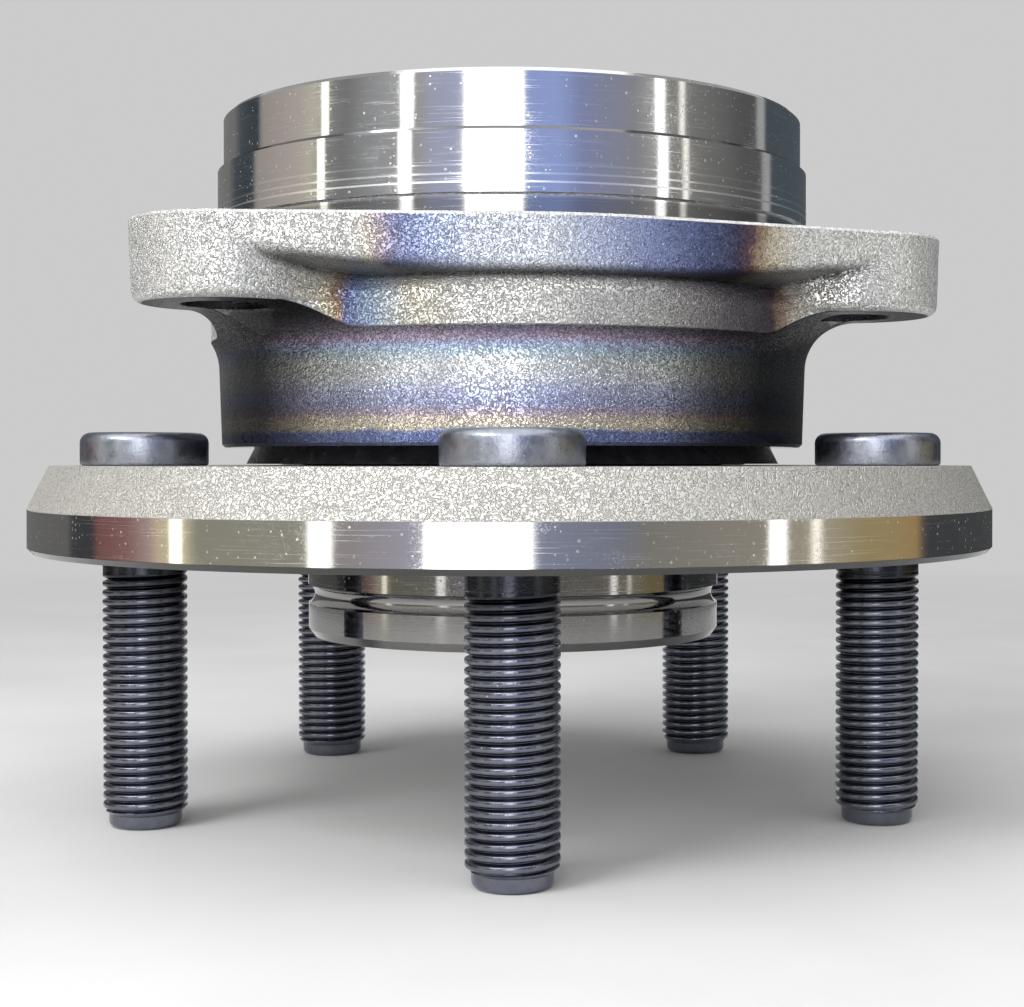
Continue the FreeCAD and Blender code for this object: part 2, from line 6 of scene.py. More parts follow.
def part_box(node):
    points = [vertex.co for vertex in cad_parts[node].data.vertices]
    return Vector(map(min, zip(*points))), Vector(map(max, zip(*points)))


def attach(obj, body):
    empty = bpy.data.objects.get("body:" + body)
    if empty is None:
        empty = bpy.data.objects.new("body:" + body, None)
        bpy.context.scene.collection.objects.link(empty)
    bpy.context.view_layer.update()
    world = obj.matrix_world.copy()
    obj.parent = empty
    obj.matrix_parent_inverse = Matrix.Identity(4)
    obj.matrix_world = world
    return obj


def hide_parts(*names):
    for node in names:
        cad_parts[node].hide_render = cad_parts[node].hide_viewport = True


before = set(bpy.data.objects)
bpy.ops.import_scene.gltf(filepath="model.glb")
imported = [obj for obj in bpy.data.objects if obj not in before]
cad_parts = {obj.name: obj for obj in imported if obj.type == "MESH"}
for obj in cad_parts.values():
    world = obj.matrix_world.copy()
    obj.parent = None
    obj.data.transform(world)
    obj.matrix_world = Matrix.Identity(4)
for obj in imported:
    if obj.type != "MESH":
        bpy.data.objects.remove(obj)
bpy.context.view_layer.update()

MM = 0.001

# Sizes of the frame that the looks follow, in millimetres
ring_low, ring_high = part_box("outer_ring")
stud_low, stud_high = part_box("wheel_stud_1")
ring_end_z = ring_low.z / MM
ring_top_z = ring_high.z / MM
stud_tip_z = stud_low.z / MM
stud_top_z = stud_high.z / MM
flange_top_z = ring_end_z - 3.1
rim_top_z = flange_top_z - 7.1
knuckle_face_z = ring_top_z - 21.65
lobe_bottom_z = knuckle_face_z - 12.7
fillet_r = 8.5
fillet_z = lobe_bottom_z - fillet_r
barrel_top_r = 50.8
fillet_centre_r = barrel_top_r + fillet_r
lobe_circle_r = 59.0
lobe_angles = (-18.0, 102.0, 222.0)
bolt_chamfer_r = 7.1
plate_bottom_z = knuckle_face_z - 8.25
plate_rise = 0.2
plate_r = 52.6
spigot_step_z = ring_top_z - 9.05
spigot_relief_z = knuckle_face_z + 2.7
spigot_lines_z = (ring_top_z - 17.1, ring_top_z - 15.9, ring_top_z - 14.6)
spigot_line_strengths = (1.0, 0.7, 0.45)

# Where one finish ends and the next begins, and where painted shade and a painted highlight lie, in
# millimetres
bore_side_r = 49.1
face_edge = 0.5
crease_fade_r = (61.0, 66.0)
spigot_step_fade = (0.27, 0.34)
rim_edge_r = 80.8
rim_edge_z = 0.95
blasted_from_r = 36.1

# Wheel studs: M14x1.5 thread with a dog point
stud_circle_r = 63.5
stud_names = ["wheel_stud_%d" % (i + 1) for i in range(5)]
stud_first_angle = -90.0
thread_r = 6.8
thread_pitch = 1.5
thread_depth = 0.84
thread_start_z = -3.0
thread_sides = 72
neck_r = 6.75
dog_r = 5.85
dog_l = 2.2
dog_edge = 1.0
dog_rise = 0.02
thread_runout = 1.2
head_r = 10.3
head_edge = 1.7
head_foot = 0.5
head_lift = 0.02
cap_r = 0.02

# Camera fitted to the photograph
IMAGE_W = 1024
IMAGE_H = 1007
camera_place = Vector((0.71, -309.6, 15.06)) * MM
camera_yaw = math.radians(1.645)
camera_pitch = math.radians(-0.711)
camera_focal_px = 1756.5
camera_centre_px = (568.0, 482.3)
sensor_mm = 36.0

# Studio, in metres unless the name says otherwise
screen_r = 0.42
screen_top = 0.30
screen_half_deg = 160
screen_panels = 160
screen_change_mm = (30.0, 80.0)
card_r = 0.40
backdrop_tone = 0.60
floor_half = 4.0
floor_fade_mm = (150.0, 700.0)


class Graph:
    """Small helper that builds one material's nodes."""

    def __init__(self, name):
        self.material = bpy.data.materials.new(name)
        self.material.use_nodes = True
        self.tree = self.material.node_tree
        self.shader = self.tree.nodes["Principled BSDF"]

    def node(self, kind, **settings):
        made = self.tree.nodes.new(kind)
        for key, value in settings.items():
            setattr(made, key, value)
        return made

    def feed(self, socket, value):
        if isinstance(value, bpy.types.NodeSocket):
            self.tree.links.new(value, socket)
        else:
            socket.default_value = value

    def math(self, operation, first, second=0.0):
        made = self.node("ShaderNodeMath", operation=operation)
        self.feed(made.inputs[0], first)
        self.feed(made.inputs[1], second)
        return made.outputs[0]

    def away(self, value, level):
        """Distance of a value from a level."""
        return self.math("ABSOLUTE", self.math("SUBTRACT", value, level))

    def length(self, across, along):
        """Straight distance from its two parts at right angles."""
        square = self.math("ADD", self.math("MULTIPLY", across, across), self.math("MULTIPLY", along, along))
        return self.math("SQRT", square)

    def place(self):
        """Position in the object in millimetres, its x, y and z, and the radius from the axis."""
        coords = self.node("ShaderNodeTexCoord")
        scaled = self.node("ShaderNodeVectorMath", operation="SCALE")
        self.feed(scaled.inputs[0], coords.outputs["Object"])
        scaled.inputs["Scale"].default_value = 1 / MM
        parts = self.node("ShaderNodeSeparateXYZ")
        self.feed(parts.inputs[0], scaled.outputs[0])
        x, y, z = parts.outputs
        return scaled.outputs[0], x, y, z, self.length(x, y)

    def vector(self, x, y, z):
        made = self.node("ShaderNodeCombineXYZ")
        for socket, value in zip(made.inputs, (x, y, z)):
            self.feed(socket, value)
        return made.outputs[0]

    def noise(self, vector, scale, detail=2.0, roughness=0.5, distortion=0.0):
        made = self.node("ShaderNodeTexNoise")
        self.feed(made.inputs["Vector"], vector)
        made.inputs["Scale"].default_value = scale
        made.inputs["Detail"].default_value = detail
        made.inputs["Roughness"].default_value = roughness
        made.inputs["Distortion"].default_value = distortion
        return made.outputs[0]

    def specks(self, vector, scale, size, share):
        """Sparse round marks: 1 on a mark, 0 elsewhere."""
        made = self.node("ShaderNodeTexVoronoi", feature="F1")
        self.feed(made.inputs["Vector"], vector)
        made.inputs["Scale"].default_value = scale
        parts = self.node("ShaderNodeSeparateColor")
        self.feed(parts.inputs[0], made.outputs["Color"])
        chosen = self.math("LESS_THAN", parts.outputs[0], share)
        reach = self.math("MULTIPLY", parts.outputs[1], size)
        near = self.math("LESS_THAN", made.outputs["Distance"], reach)
        return self.math("MULTIPLY", chosen, near)

    def span(self, value, low, high, start=0.0, end=1.0):
        """Value mapped from low..high to start..end, clamped."""
        made = self.node("ShaderNodeMapRange", clamp=True)
        self.feed(made.inputs[0], value)
        for index, number in zip((1, 2, 3, 4), (low, high, start, end)):
            made.inputs[index].default_value = number
        return made.outputs[0]

    def ramp(self, factor, stops):
        made = self.node("ShaderNodeValToRGB")
        elements = made.color_ramp.elements
        while len(elements) < len(stops):
            elements.new(1.0)
        for element, (position, colour) in zip(elements, stops):
            element.position = position
            element.color = (*colour, 1.0)
        self.feed(made.inputs[0], factor)
        return made.outputs[0]

    def bands(self, value, stops):
        """Colour ramp whose stops are given in the value's own units."""
        low, high = stops[0][0], stops[-1][0]
        return self.ramp(self.span(value, low, high), [((v - low) / (high - low), c) for v, c in stops])

    def mix(self, factor, first, second, blend="MIX"):
        made = self.node("ShaderNodeMix", data_type="RGBA", blend_type=blend)
        self.feed(made.inputs[0], factor)
        for socket, value in zip((made.inputs[6], made.inputs[7]), (first, second)):
            self.feed(socket, (*value, 1.0) if isinstance(value, tuple) else value)
        return made.outputs[2]

    def dimmed(self, colour, factor):
        """Colour times a number."""
        return self.mix(1.0, colour, self.vector(factor, factor, factor), "MULTIPLY")

    def blend(self, factor, first, second):
        """Plain numbers blended by a factor."""
        made = self.node("ShaderNodeMix", data_type="FLOAT")
        self.feed(made.inputs[0], factor)
        self.feed(made.inputs[2], first)
        self.feed(made.inputs[3], second)
        return made.outputs[0]

    def bump(self, height, distance_mm):
        made = self.node("ShaderNodeBump")
        made.inputs["Distance"].default_value = distance_mm * MM
        self.feed(made.inputs["Height"], height)
        self.feed(self.shader.inputs["Normal"], made.outputs[0])

    def surface(self, colour, roughness, metallic):
        colour = (*colour, 1.0) if isinstance(colour, tuple) else colour
        self.feed(self.shader.inputs["Base Color"], colour)
        self.feed(self.shader.inputs["Roughness"], roughness)
        self.feed(self.shader.inputs["Metallic"], metallic)


class Machined:
    """Turned or ground steel: circumferential marks, scratches, specks and frosted patches."""

    def __init__(self, g, place, angle, z, radius):
        along = g.math("MULTIPLY", angle, 16.0)
        marks = g.noise(g.vector(0.0, z, radius), 13.0, 2.0, 0.6)
        drawn = g.vector(g.math("MULTIPLY", along, 0.3), g.math("MULTIPLY", z, 8.0), radius)
        streak = g.noise(drawn, 1.0, 2.0)
        patch = g.span(g.noise(place, 0.11, 3.0, 0.6), 0.42, 0.62)
        specks = g.specks(place, 1.3, 0.28, 0.42)
        specks = g.math("MULTIPLY", specks, g.span(patch, 0.0, 1.0, 0.35, 1.0))
        frost = g.math("MULTIPLY", g.span(g.noise(place, 4.5, 2.0, 0.7), 0.52, 0.62), patch)
        self.worn = g.math("MAXIMUM", specks, g.span(streak, 0.62, 0.69, 0.0, 0.55))
        self.height = g.math("ADD", g.math("MULTIPLY", marks, 0.03), g.math("MULTIPLY", specks, 0.6))
        rough = g.blend(g.math("MULTIPLY", frost, 0.8), 0.055, 0.26)
        self.rough = g.blend(self.worn, rough, 0.36)


def grain(g, place, scale):
    """Shot-blasted skin: 1 on the winding ridges, 0 in the pits between them."""
    folds = g.away(g.noise(place, scale, 1.5, 0.5, 0.6), 0.5)
    ridge = g.span(folds, 0.0, 0.10, 0.0, 1.0)
    lumps = g.noise(place, scale * 0.6, 2.0, 0.6)
    return g.math("ADD", g.math("MULTIPLY", ridge, 0.6), g.math("MULTIPLY", lumps, 0.4))


def near_bolt_holes(g, x, y):
    """1 inside the chamfered bolt holes of the lobes."""
    found = 0.0
    for degrees in lobe_angles:
        turn = math.radians(degrees)
        across = g.math("SUBTRACT", x, lobe_circle_r * math.cos(turn))
        along = g.math("SUBTRACT", y, lobe_circle_r * math.sin(turn))
        found = g.math("MAXIMUM", found, g.math("LESS_THAN", g.length(across, along), bolt_chamfer_r))
    return found


# Heat tint of the forging between its two front lobes, by angle round the ring in degrees; the darkening
# towards the right lobe is painted shade
SILVER = (0.86, 0.86, 0.84)
PLATE_TINT_AND_SHADE = [
    (-122, SILVER), (-113.5, SILVER), (-112, (0.84, 0.80, 0.70)),
    (-110.4, (0.60, 0.52, 0.56)), (-109.0, (0.38, 0.36, 0.52)), (-106.5, (0.32, 0.36, 0.60)),
    (-102, (0.50, 0.57, 0.82)), (-96, (0.76, 0.82, 0.94)), (-84, (0.84, 0.88, 0.97)),
    (-76, (0.64, 0.70, 0.92)), (-66, (0.33, 0.39, 0.66)), (-58, (0.15, 0.18, 0.34)),
    (-51, (0.08, 0.08, 0.14)), (-48.8, (0.16, 0.10, 0.12)), (-47.6, (0.38, 0.27, 0.20)),
    (-45.5, (0.70, 0.63, 0.48)), (-41, SILVER), (-38, SILVER),
]
WEB_TINT_AND_SHADE = [
    (-124, SILVER), (-121.5, (0.80, 0.74, 0.58)), (-119.6, (0.50, 0.36, 0.24)),
    (-118, (0.28, 0.32, 0.58)), (-115, (0.48, 0.60, 0.80)), (-111, (0.72, 0.77, 0.82)),
    (-106, (0.82, 0.78, 0.66)), (-98, (0.80, 0.79, 0.76)), (-84, (0.80, 0.79, 0.75)),
    (-70, (0.60, 0.60, 0.59)), (-60, (0.38, 0.37, 0.37)), (-50, (0.20, 0.19, 0.21)),
    (-41, (0.13, 0.12, 0.15)), (-38.2, (0.14, 0.10, 0.12)), (-36.6, (0.36, 0.27, 0.22)),
    (-34.6, (0.70, 0.64, 0.54)), (-31, SILVER), (-28, SILVER),
]

# Heat bands round the barrel, by height above the ring's outboard end; the near-black top, on the fillet and
# the lobes' undersides, is painted shade
BARREL_TINT_AND_SHADE = [
    (0.0, (0.16, 0.19, 0.34)), (1.9, (0.18, 0.22, 0.42)), (2.7, (0.60, 0.57, 0.47)),
    (4.0, (0.62, 0.54, 0.47)), (4.9, (0.42, 0.37, 0.44)), (6.3, (0.35, 0.38, 0.55)),
    (8.3, (0.44, 0.47, 0.62)), (10.0, (0.58, 0.61, 0.66)), (12.2, (0.60, 0.62, 0.62)),
    (13.8, (0.46, 0.55, 0.62)), (15.0, (0.36, 0.42, 0.58)), (15.9, (0.36, 0.30, 0.40)),
    (17.2, (0.18, 0.16, 0.20)), (20.0, (0.035, 0.037, 0.04)), (22.0, (0.035, 0.037, 0.04)),
]

# Painted shade of the barrel as a multiplier, by angle round the ring in degrees: the light falls off round
# its sides
BARREL_SHADE = [
    (-180, 0.40), (-165, 0.27), (-150, 0.14), (-141, 0.12), (-135, 0.28), (-130, 0.42), (-125, 0.56),
    (-120, 0.68), (-110, 1.0), (-82, 1.0), (-76, 0.85), (-66, 0.61), (-60, 0.38), (-55, 0.23),
    (-50, 0.14), (-45, 0.11), (-39, 0.05), (-20, 0.09), (10, 0.26), (90, 0.40), (180, 0.40),
]


def turned_outside(g, z, radius):
    """1 on the barrel, in the hollow fillet and on the undersides of the lobes."""
    reach = g.length(g.math("SUBTRACT", radius, fillet_centre_r), g.math("SUBTRACT", z, fillet_z))
    in_fillet = g.span(reach, fillet_r + 0.05, fillet_r + 0.16, 1.0, 0.0)
    below = g.span(z, fillet_z + 0.2, fillet_z + 0.5, 1.0, 0.0)
    underside = g.math("MULTIPLY", g.span(z, lobe_bottom_z + 0.02, lobe_bottom_z + 0.06, 1.0, 0.0),
                       g.span(radius, fillet_centre_r - 0.6, fillet_centre_r - 0.4))
    return g.math("MAXIMUM", in_fillet, g.math("MAXIMUM", below, underside))


def forged_colour(g, place, z, radius, degrees, skin):
    """Forging: pitted skin, heat tint with painted shade towards the right lobe, painted shade of the
    overhang between plate and web, painted highlight on the top edge.
    """
    wander = g.math("MULTIPLY", g.math("SUBTRACT", g.noise(place, 0.22, 4.0, 0.65), 0.5), 6.0)
    where = g.math("ADD", degrees, wander)
    lower = g.span(z, plate_bottom_z - 1.0, plate_bottom_z + 0.5, 1.0, 0.0)
    # Heat tint, with painted shade on the side towards the right lobe
    tint_and_shade = g.mix(lower, g.bands(where, PLATE_TINT_AND_SHADE), g.bands(where, WEB_TINT_AND_SHADE))

    # Painted shade of the overhang: it follows the plate's lower edge and fades out towards the lobes' ends
    sag = g.math("SUBTRACT", g.math("SUBTRACT", z, plate_bottom_z),
                 g.math("MULTIPLY", g.math("SUBTRACT", radius, plate_r), plate_rise))
    painted_crease_shade = g.math("MULTIPLY", g.span(sag, -1.3, -0.3), g.span(sag, 0.1, 0.9, 1.0, 0.0))
    painted_crease_shade = g.math("MULTIPLY", painted_crease_shade, g.span(radius, *crease_fade_r, 1.0, 0.0))
    pits = g.span(skin, 0.15, 0.55, 0.35, 1.0)
    forged = g.dimmed(tint_and_shade, g.math("MULTIPLY", pits, g.span(painted_crease_shade, 0.0, 1.0, 1.0, 0.34)))

    # Painted highlight: a bright line along the forging's top edge, just under the knuckle face
    highlight_z = knuckle_face_z - face_edge
    painted_top_highlight = g.math("MULTIPLY", g.span(z, highlight_z - 0.05, highlight_z + 0.05),
                  g.span(radius, bore_side_r + 0.1, bore_side_r + 0.3))
    return g.mix(painted_top_highlight, forged, (0.98, 0.98, 0.97))


def barrel_colour(g, place, z, degrees, satin):
    """Heat bands of the barrel, with painted shade that falls off round its sides, darkest beside the silver
    front.
    """
    sway = g.math("MULTIPLY", g.math("SUBTRACT", g.noise(place, 0.3, 3.0), 0.5), 1.2)
    height = g.math("ADD", g.math("SUBTRACT", z, ring_end_z), sway)
    # Painted shade: the light falls off round the barrel's sides; the satin grain varies it
    painted_falloff_and_grain = g.bands(degrees, [(at, (tone, tone, tone)) for at, tone in BARREL_SHADE])
    painted_falloff_and_grain = g.math("MULTIPLY", painted_falloff_and_grain, g.span(satin, 0.15, 0.6, 0.52, 1.38))
    return g.dimmed(g.bands(height, BARREL_TINT_AND_SHADE), painted_falloff_and_grain)


def spigot_lines(g, z):
    """1 on the strongest of the lighter, rougher lines round the spigot, less on the others."""
    line = 0.0
    for level, strength in zip(spigot_lines_z, spigot_line_strengths):
        line = g.math("MAXIMUM", line, g.span(g.away(z, level), 0.10, 0.22, strength, 0.0))
    return line


def ground_colour(g, z, worn):
    """Ground steel, with painted shade at the spigot's step and in the relief at its foot."""
    steel = g.mix(worn, (0.66, 0.66, 0.67), (0.90, 0.90, 0.92))
    # Painted shade in the spigot's step and in the relief at its foot
    step = g.span(g.away(z, spigot_step_z), *spigot_step_fade, 0.24, 1.0)
    relief_shade = g.span(z, spigot_relief_z - 0.5, spigot_relief_z, 0.6, 1.0)
    return g.dimmed(steel, g.math("MINIMUM", step, relief_shade))


def ring_material():
    """Outer ring: ground spigot, forged and heat-tinted flange, satin barrel with heat bands; painted shade
    and a painted highlight on them.
    """
    g = Graph("ring_steel_look")
    place, x, y, z, radius = g.place()
    angle = g.math("ARCTAN2", y, x)
    degrees = g.math("MULTIPLY", angle, 180 / math.pi)
    spigot = g.span(z, knuckle_face_z - 0.02, knuckle_face_z + 0.02)
    bore = g.span(radius, bore_side_r - 0.1, bore_side_r + 0.1, 1.0, 0.0)
    machined = g.math("MAXIMUM", spigot, bore)
    holes = near_bolt_holes(g, x, y)
    turned = g.math("MAXIMUM", turned_outside(g, z, radius), holes)
    skin = grain(g, place, 2.0)
    satin = grain(g, place, 1.8)
    metal = Machined(g, place, angle, z, radius)
    line = g.math("MULTIPLY", spigot_lines(g, z), spigot)

    forged = forged_colour(g, place, z, radius, degrees, skin)
    # Painted shade: near-black steel inside the bolt holes
    rings = g.mix(holes, barrel_colour(g, place, z, degrees, satin), (0.06, 0.06, 0.065))
    ground = ground_colour(g, z, g.math("MAXIMUM", metal.worn, line))
    colour = g.mix(machined, g.mix(turned, forged, rings), ground)
    rough = g.math("MAXIMUM", metal.rough, g.math("MULTIPLY", line, 0.3))
    g.surface(colour, g.blend(machined, g.blend(turned, 0.42, 0.27), rough), 1.0)
    height = g.blend(turned, skin, g.math("MULTIPLY", satin, 0.5))
    g.bump(g.blend(machined, height, g.math("MULTIPLY", metal.height, 0.16)), 0.34)
    return g.material


def hub_material():
    """Hub: turned rim, face and pilots; shot-blasted cone and flange back; painted dark reflection on the
    rim's lower chamfer and painted shade on the pilot.
    """
    g = Graph("hub_steel_look")
    place, x, y, z, radius = g.place()
    angle = g.math("ARCTAN2", y, x)
    blasted = g.math("MULTIPLY", g.span(z, rim_top_z - 0.02, rim_top_z + 0.06),
                     g.span(radius, blasted_from_r - 0.1, blasted_from_r + 0.1))
    skin = grain(g, place, 1.9)
    sandy = g.bands(skin, [
        (0.15, (0.36, 0.35, 0.33)), (0.4, (0.50, 0.49, 0.46)), (0.62, (0.64, 0.63, 0.59)),
    ])
    metal = Machined(g, place, angle, z, radius)
    steel = g.mix(metal.worn, (0.66, 0.65, 0.64), (0.86, 0.86, 0.86))

    # Painted dark reflection on the chamfer under the rim, and painted shade on the pilot ring under the
    # flange
    painted_chamfer_reflection = g.math("MAXIMUM", g.span(z, rim_edge_z - 0.05, rim_edge_z + 0.05, 0.16, 1.0),
                        g.span(radius, rim_edge_r - 0.1, rim_edge_r + 0.1, 1.0, 0.0))
    tone = g.math("MINIMUM", painted_chamfer_reflection, g.span(z, -0.3, -0.05, 0.42, 1.0))
    colour = g.mix(blasted, g.dimmed(steel, tone), sandy)
    g.surface(colour, g.blend(blasted, metal.rough, 0.55), 1.0)
    g.bump(g.blend(blasted, g.math("MULTIPLY", metal.height, 0.2), g.math("MULTIPLY", skin, 0.6)), 0.36)
    return g.material


def stud_material():
    """Dark phosphated steel with an oily gloss, rubbed in places; painted shadow of the flange on the shank.
    """
    g = Graph("stud_black_look")
    place, x, y, z, radius = g.place()
    cloud = g.noise(place, 0.8, 4.0, 0.65)
    rubbed = g.specks(place, 1.4, 0.2, 0.3)
    shank = g.span(z, -0.5, 0.5, 1.0, 0.0)
    head = g.bands(cloud, [(0.3, (0.26, 0.28, 0.33)), (0.7, (0.36, 0.38, 0.44))])
    thread = g.bands(cloud, [(0.3, (0.155, 0.165, 0.20)), (0.7, (0.205, 0.215, 0.26))])
    colour = g.mix(g.math("MULTIPLY", rubbed, 0.7), g.mix(shank, head, thread), (0.6, 0.6, 0.64))

    # Painted shadow of the flange on the shank, darkest right under the flange; the head is left as it is
    painted_flange_shadow = g.math("MAXIMUM", g.span(z, -10.0, -4.0, 1.0, 0.2), g.span(z, -0.5, 0.5))
    g.surface(g.dimmed(colour, painted_flange_shadow), g.blend(shank, g.span(cloud, 0.3, 0.7, 0.26, 0.36), 0.15), 1.0)
    g.bump(g.noise(place, 2.6, 3.0, 0.6), 0.04)
    return g.material


def rubber_material():
    """Black seal rubber with a film of grease."""
    g = Graph("seal_rubber_look")
    place, x, y, z, radius = g.place()
    film = g.noise(place, 0.5, 3.0)
    g.shader.inputs["Specular IOR Level"].default_value = 0.16
    g.surface(g.bands(film, [(0.3, (0.006, 0.006, 0.008)), (0.8, (0.02, 0.02, 0.024))]),
              g.span(film, 0.3, 0.7, 0.10, 0.3), 0.0)
    g.bump(g.noise(g.vector(radius, z, 0.0), 2.5, 2.0), 0.03)
    return g.material


def plain_steel_material(name, tone, rough_low, rough_high):
    """Pressed or ground steel of the inner pieces."""
    g = Graph(name)
    place, x, y, z, radius = g.place()
    film = g.noise(place, 0.6, 4.0)
    low = tuple(0.8 * c for c in tone)
    g.surface(g.bands(film, [(0.3, low), (0.7, tone)]), g.span(film, 0.3, 0.7, rough_low, rough_high), 1.0)
    g.bump(g.noise(g.vector(radius, z, 0.0), 9.0, 2.0), 0.01)
    return g.material


def plain_moulded_material(name, tone, rough):
    """Moulded polymer or magnetised rubber."""
    g = Graph(name)
    place, x, y, z, radius = g.place()
    film = g.noise(place, 1.5, 4.0)
    low = tuple(0.7 * c for c in tone)
    g.surface(g.bands(film, [(0.3, low), (0.7, tone)]), g.span(film, 0.3, 0.7, rough, rough + 0.15), 0.0)
    g.bump(g.noise(place, 6.0, 2.0), 0.02)
    return g.material


def dress(material, *nodes):
    """Give CAD nodes a material."""
    for name in nodes:
        mesh = bpy.data.objects[name].data
        mesh.materials.clear()
        mesh.materials.append(material)


def link(piece):
    bpy.context.scene.collection.objects.link(piece)
    return piece


# Share of the pitch and share of the depth along one turn of the thread
THREAD_FORM = [
    (0.0, 0.34), (0.05, 0.17), (0.14, 0.05), (0.27, 0.0), (0.40, 0.0), (0.52, 0.05),
    (0.61, 0.17), (0.66, 0.34), (0.82, 1.0), (0.84, 1.0),
]


def arc(centre_r, centre_z, radius, start, end, steps):
    """Points (radius, z) of an arc between two angles in degrees."""
    turns = [math.radians(start + (end - start) * i / steps) for i in range(steps + 1)]
    return [(centre_r + radius * math.cos(t), centre_z + radius * math.sin(t)) for t in turns]


def head_profile():
    """Rounded head and plain neck, from the middle of the head down to the thread."""
    profile = [(cap_r, stud_top_z), (head_r * 0.6, stud_top_z)]
    profile += arc(head_r - head_edge, stud_top_z - head_edge, head_edge, 90, 0, 8)
    profile += arc(head_r - head_foot, flange_top_z + head_lift + head_foot, head_foot, 0, -90, 3)
    return profile + [(neck_r, flange_top_z + head_lift / 2), (neck_r, 0.0), (neck_r, thread_start_z)]


def dog_profile(end_z):
    """Dog point, from the end of the thread down to the middle of the tip."""
    profile = [(dog_r + dog_rise, end_z), (dog_r, end_z - 0.1)]
    profile += arc(dog_r - dog_edge, stud_tip_z + dog_edge, dog_edge, 0, -90, 5)
    return profile + [(cap_r, stud_tip_z)]


def thread_point(step, phase, depth, end_z):
    """Point on the helix, run out into the neck above and the dog point below."""
    z = thread_start_z + (1 - phase - step / thread_sides) * thread_pitch
    rise = min(1.0, max(0.0, (thread_start_z - z) / thread_runout))
    radius = thread_r - (thread_r - neck_r) * (1 - rise) - thread_depth * depth * rise
    limit = dog_r + dog_rise + max(0.0, z - end_z)
    return min(radius, limit), min(max(z, end_z), thread_start_z), 2 * math.pi * step / thread_sides


def stud_mesh(name, angle):
    """Stud at an angle: head, neck, helical thread and dog point."""
    points = []
    faces = []

    def add_rings(profile):
        """Add a ring of (radius, z, turn) points for each step of a profile, joined to the last."""
        for index, (radius, z) in enumerate(profile):
            start = len(points)
            points.extend((radius, z, 2 * math.pi * s / thread_sides) for s in range(thread_sides))
            if index:
                for s in range(thread_sides):
                    t = (s + 1) % thread_sides
                    faces.append((start - thread_sides + s, start + s, start + t, start - thread_sides + t))

    add_rings(head_profile())
    neck = len(points) - thread_sides
    end_z = stud_tip_z + dog_l
    turns = int((thread_start_z - end_z) / thread_pitch) + 2
    steps = turns * thread_sides
    form = len(THREAD_FORM)
    base = len(points)
    for step in range(steps + thread_sides + 1):
        for phase, depth in THREAD_FORM:
            points.append(thread_point(step, phase, depth, end_z))

    def at(step, row):
        return base + step * form + row if row < form else base + (step + thread_sides) * form

    for step in range(steps):
        for row in range(form):
            faces.append((at(step, row), at(step, row + 1), at(step + 1, row + 1), at(step + 1, row)))
    for s in range(thread_sides):
        t = (s + 1) % thread_sides
        faces.append((neck + s, at(s, 0), at(s + 1, 0), neck + t))
    first = len(points)
    add_rings(dog_profile(end_z))
    for s in range(thread_sides):
        t = (s + 1) % thread_sides
        faces.append((at(steps + s, 0), first + s, first + t, at(steps + s + 1, 0)))
    faces.append(tuple(reversed(range(thread_sides))))
    faces.append(tuple(range(len(points) - thread_sides, len(points))))

    middle = Vector((math.cos(angle), math.sin(angle), 0)) * stud_circle_r
    places = []
    for radius, z, turn in points:
        spot = Vector((radius * math.cos(angle - turn), radius * math.sin(angle - turn), z))
        places.append(tuple((spot + middle) * MM))
    mesh = bpy.data.meshes.new(name)
    mesh.from_pydata(places, [], faces)
    mesh.validate()
    mesh.flip_normals()
    mesh.shade_smooth()
    mesh.set_sharp_from_angle(angle=math.radians(62))
    return mesh


def build_studs(material):
    for i, node in enumerate(stud_names):
        angle = math.radians(stud_first_angle + i * 360 / len(stud_names))
        piece = link(bpy.data.objects.new("threaded_" + node, stud_mesh("threaded_" + node, angle)))
        piece.data.materials.append(material)
        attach(piece, "hub")
        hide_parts(node)


def build_camera():
    forward = Vector((math.sin(camera_yaw) * math.cos(camera_pitch),
                      math.cos(camera_yaw) * math.cos(camera_pitch), math.sin(camera_pitch)))
    right = Vector((math.cos(camera_yaw), -math.sin(camera_yaw), 0))
    up = right.cross(forward)
    turn = Matrix((right, up, -forward)).transposed()
    data = bpy.data.cameras.new("camera")
    data.sensor_width = sensor_mm
    data.lens = camera_focal_px / IMAGE_W * sensor_mm
    data.shift_x = (IMAGE_W / 2 - camera_centre_px[0]) / IMAGE_W
    data.shift_y = (camera_centre_px[1] - IMAGE_H / 2) / IMAGE_W
    data.clip_start = 0.01
    camera = link(bpy.data.objects.new("camera", data))
    camera.matrix_world = Matrix.Translation(camera_place) @ turn.to_4x4()
    bpy.context.scene.camera = camera


def area_light(name, place, target, width, height, radiance, colour=(1.0, 1.0, 1.0)):
    data = bpy.data.lights.new(name, "AREA")
    data.shape = "RECTANGLE"
    data.size = width
    data.size_y = height
    data.energy = radiance * math.pi * width * height
    data.color = colour
    light = link(bpy.data.objects.new(name, data))
    light.location = place
    light.rotation_euler = (target - place).to_track_quat("-Z", "Y").to_euler()
    light.visible_camera = False


def card(name, azimuth, width_deg, radiance, colour, low=-0.04, high=0.34):
    """Upright strip light at an azimuth; 0 is the camera's side and positive is to its right."""
    turn = math.radians(azimuth)
    place = Vector((math.sin(turn) * card_r, -math.cos(turn) * card_r, (low + high) / 2))
    width = 2 * card_r * math.tan(math.radians(width_deg) / 2)
    area_light(name, place, Vector((0, 0, place.z)), width, high - low, radiance, colour)


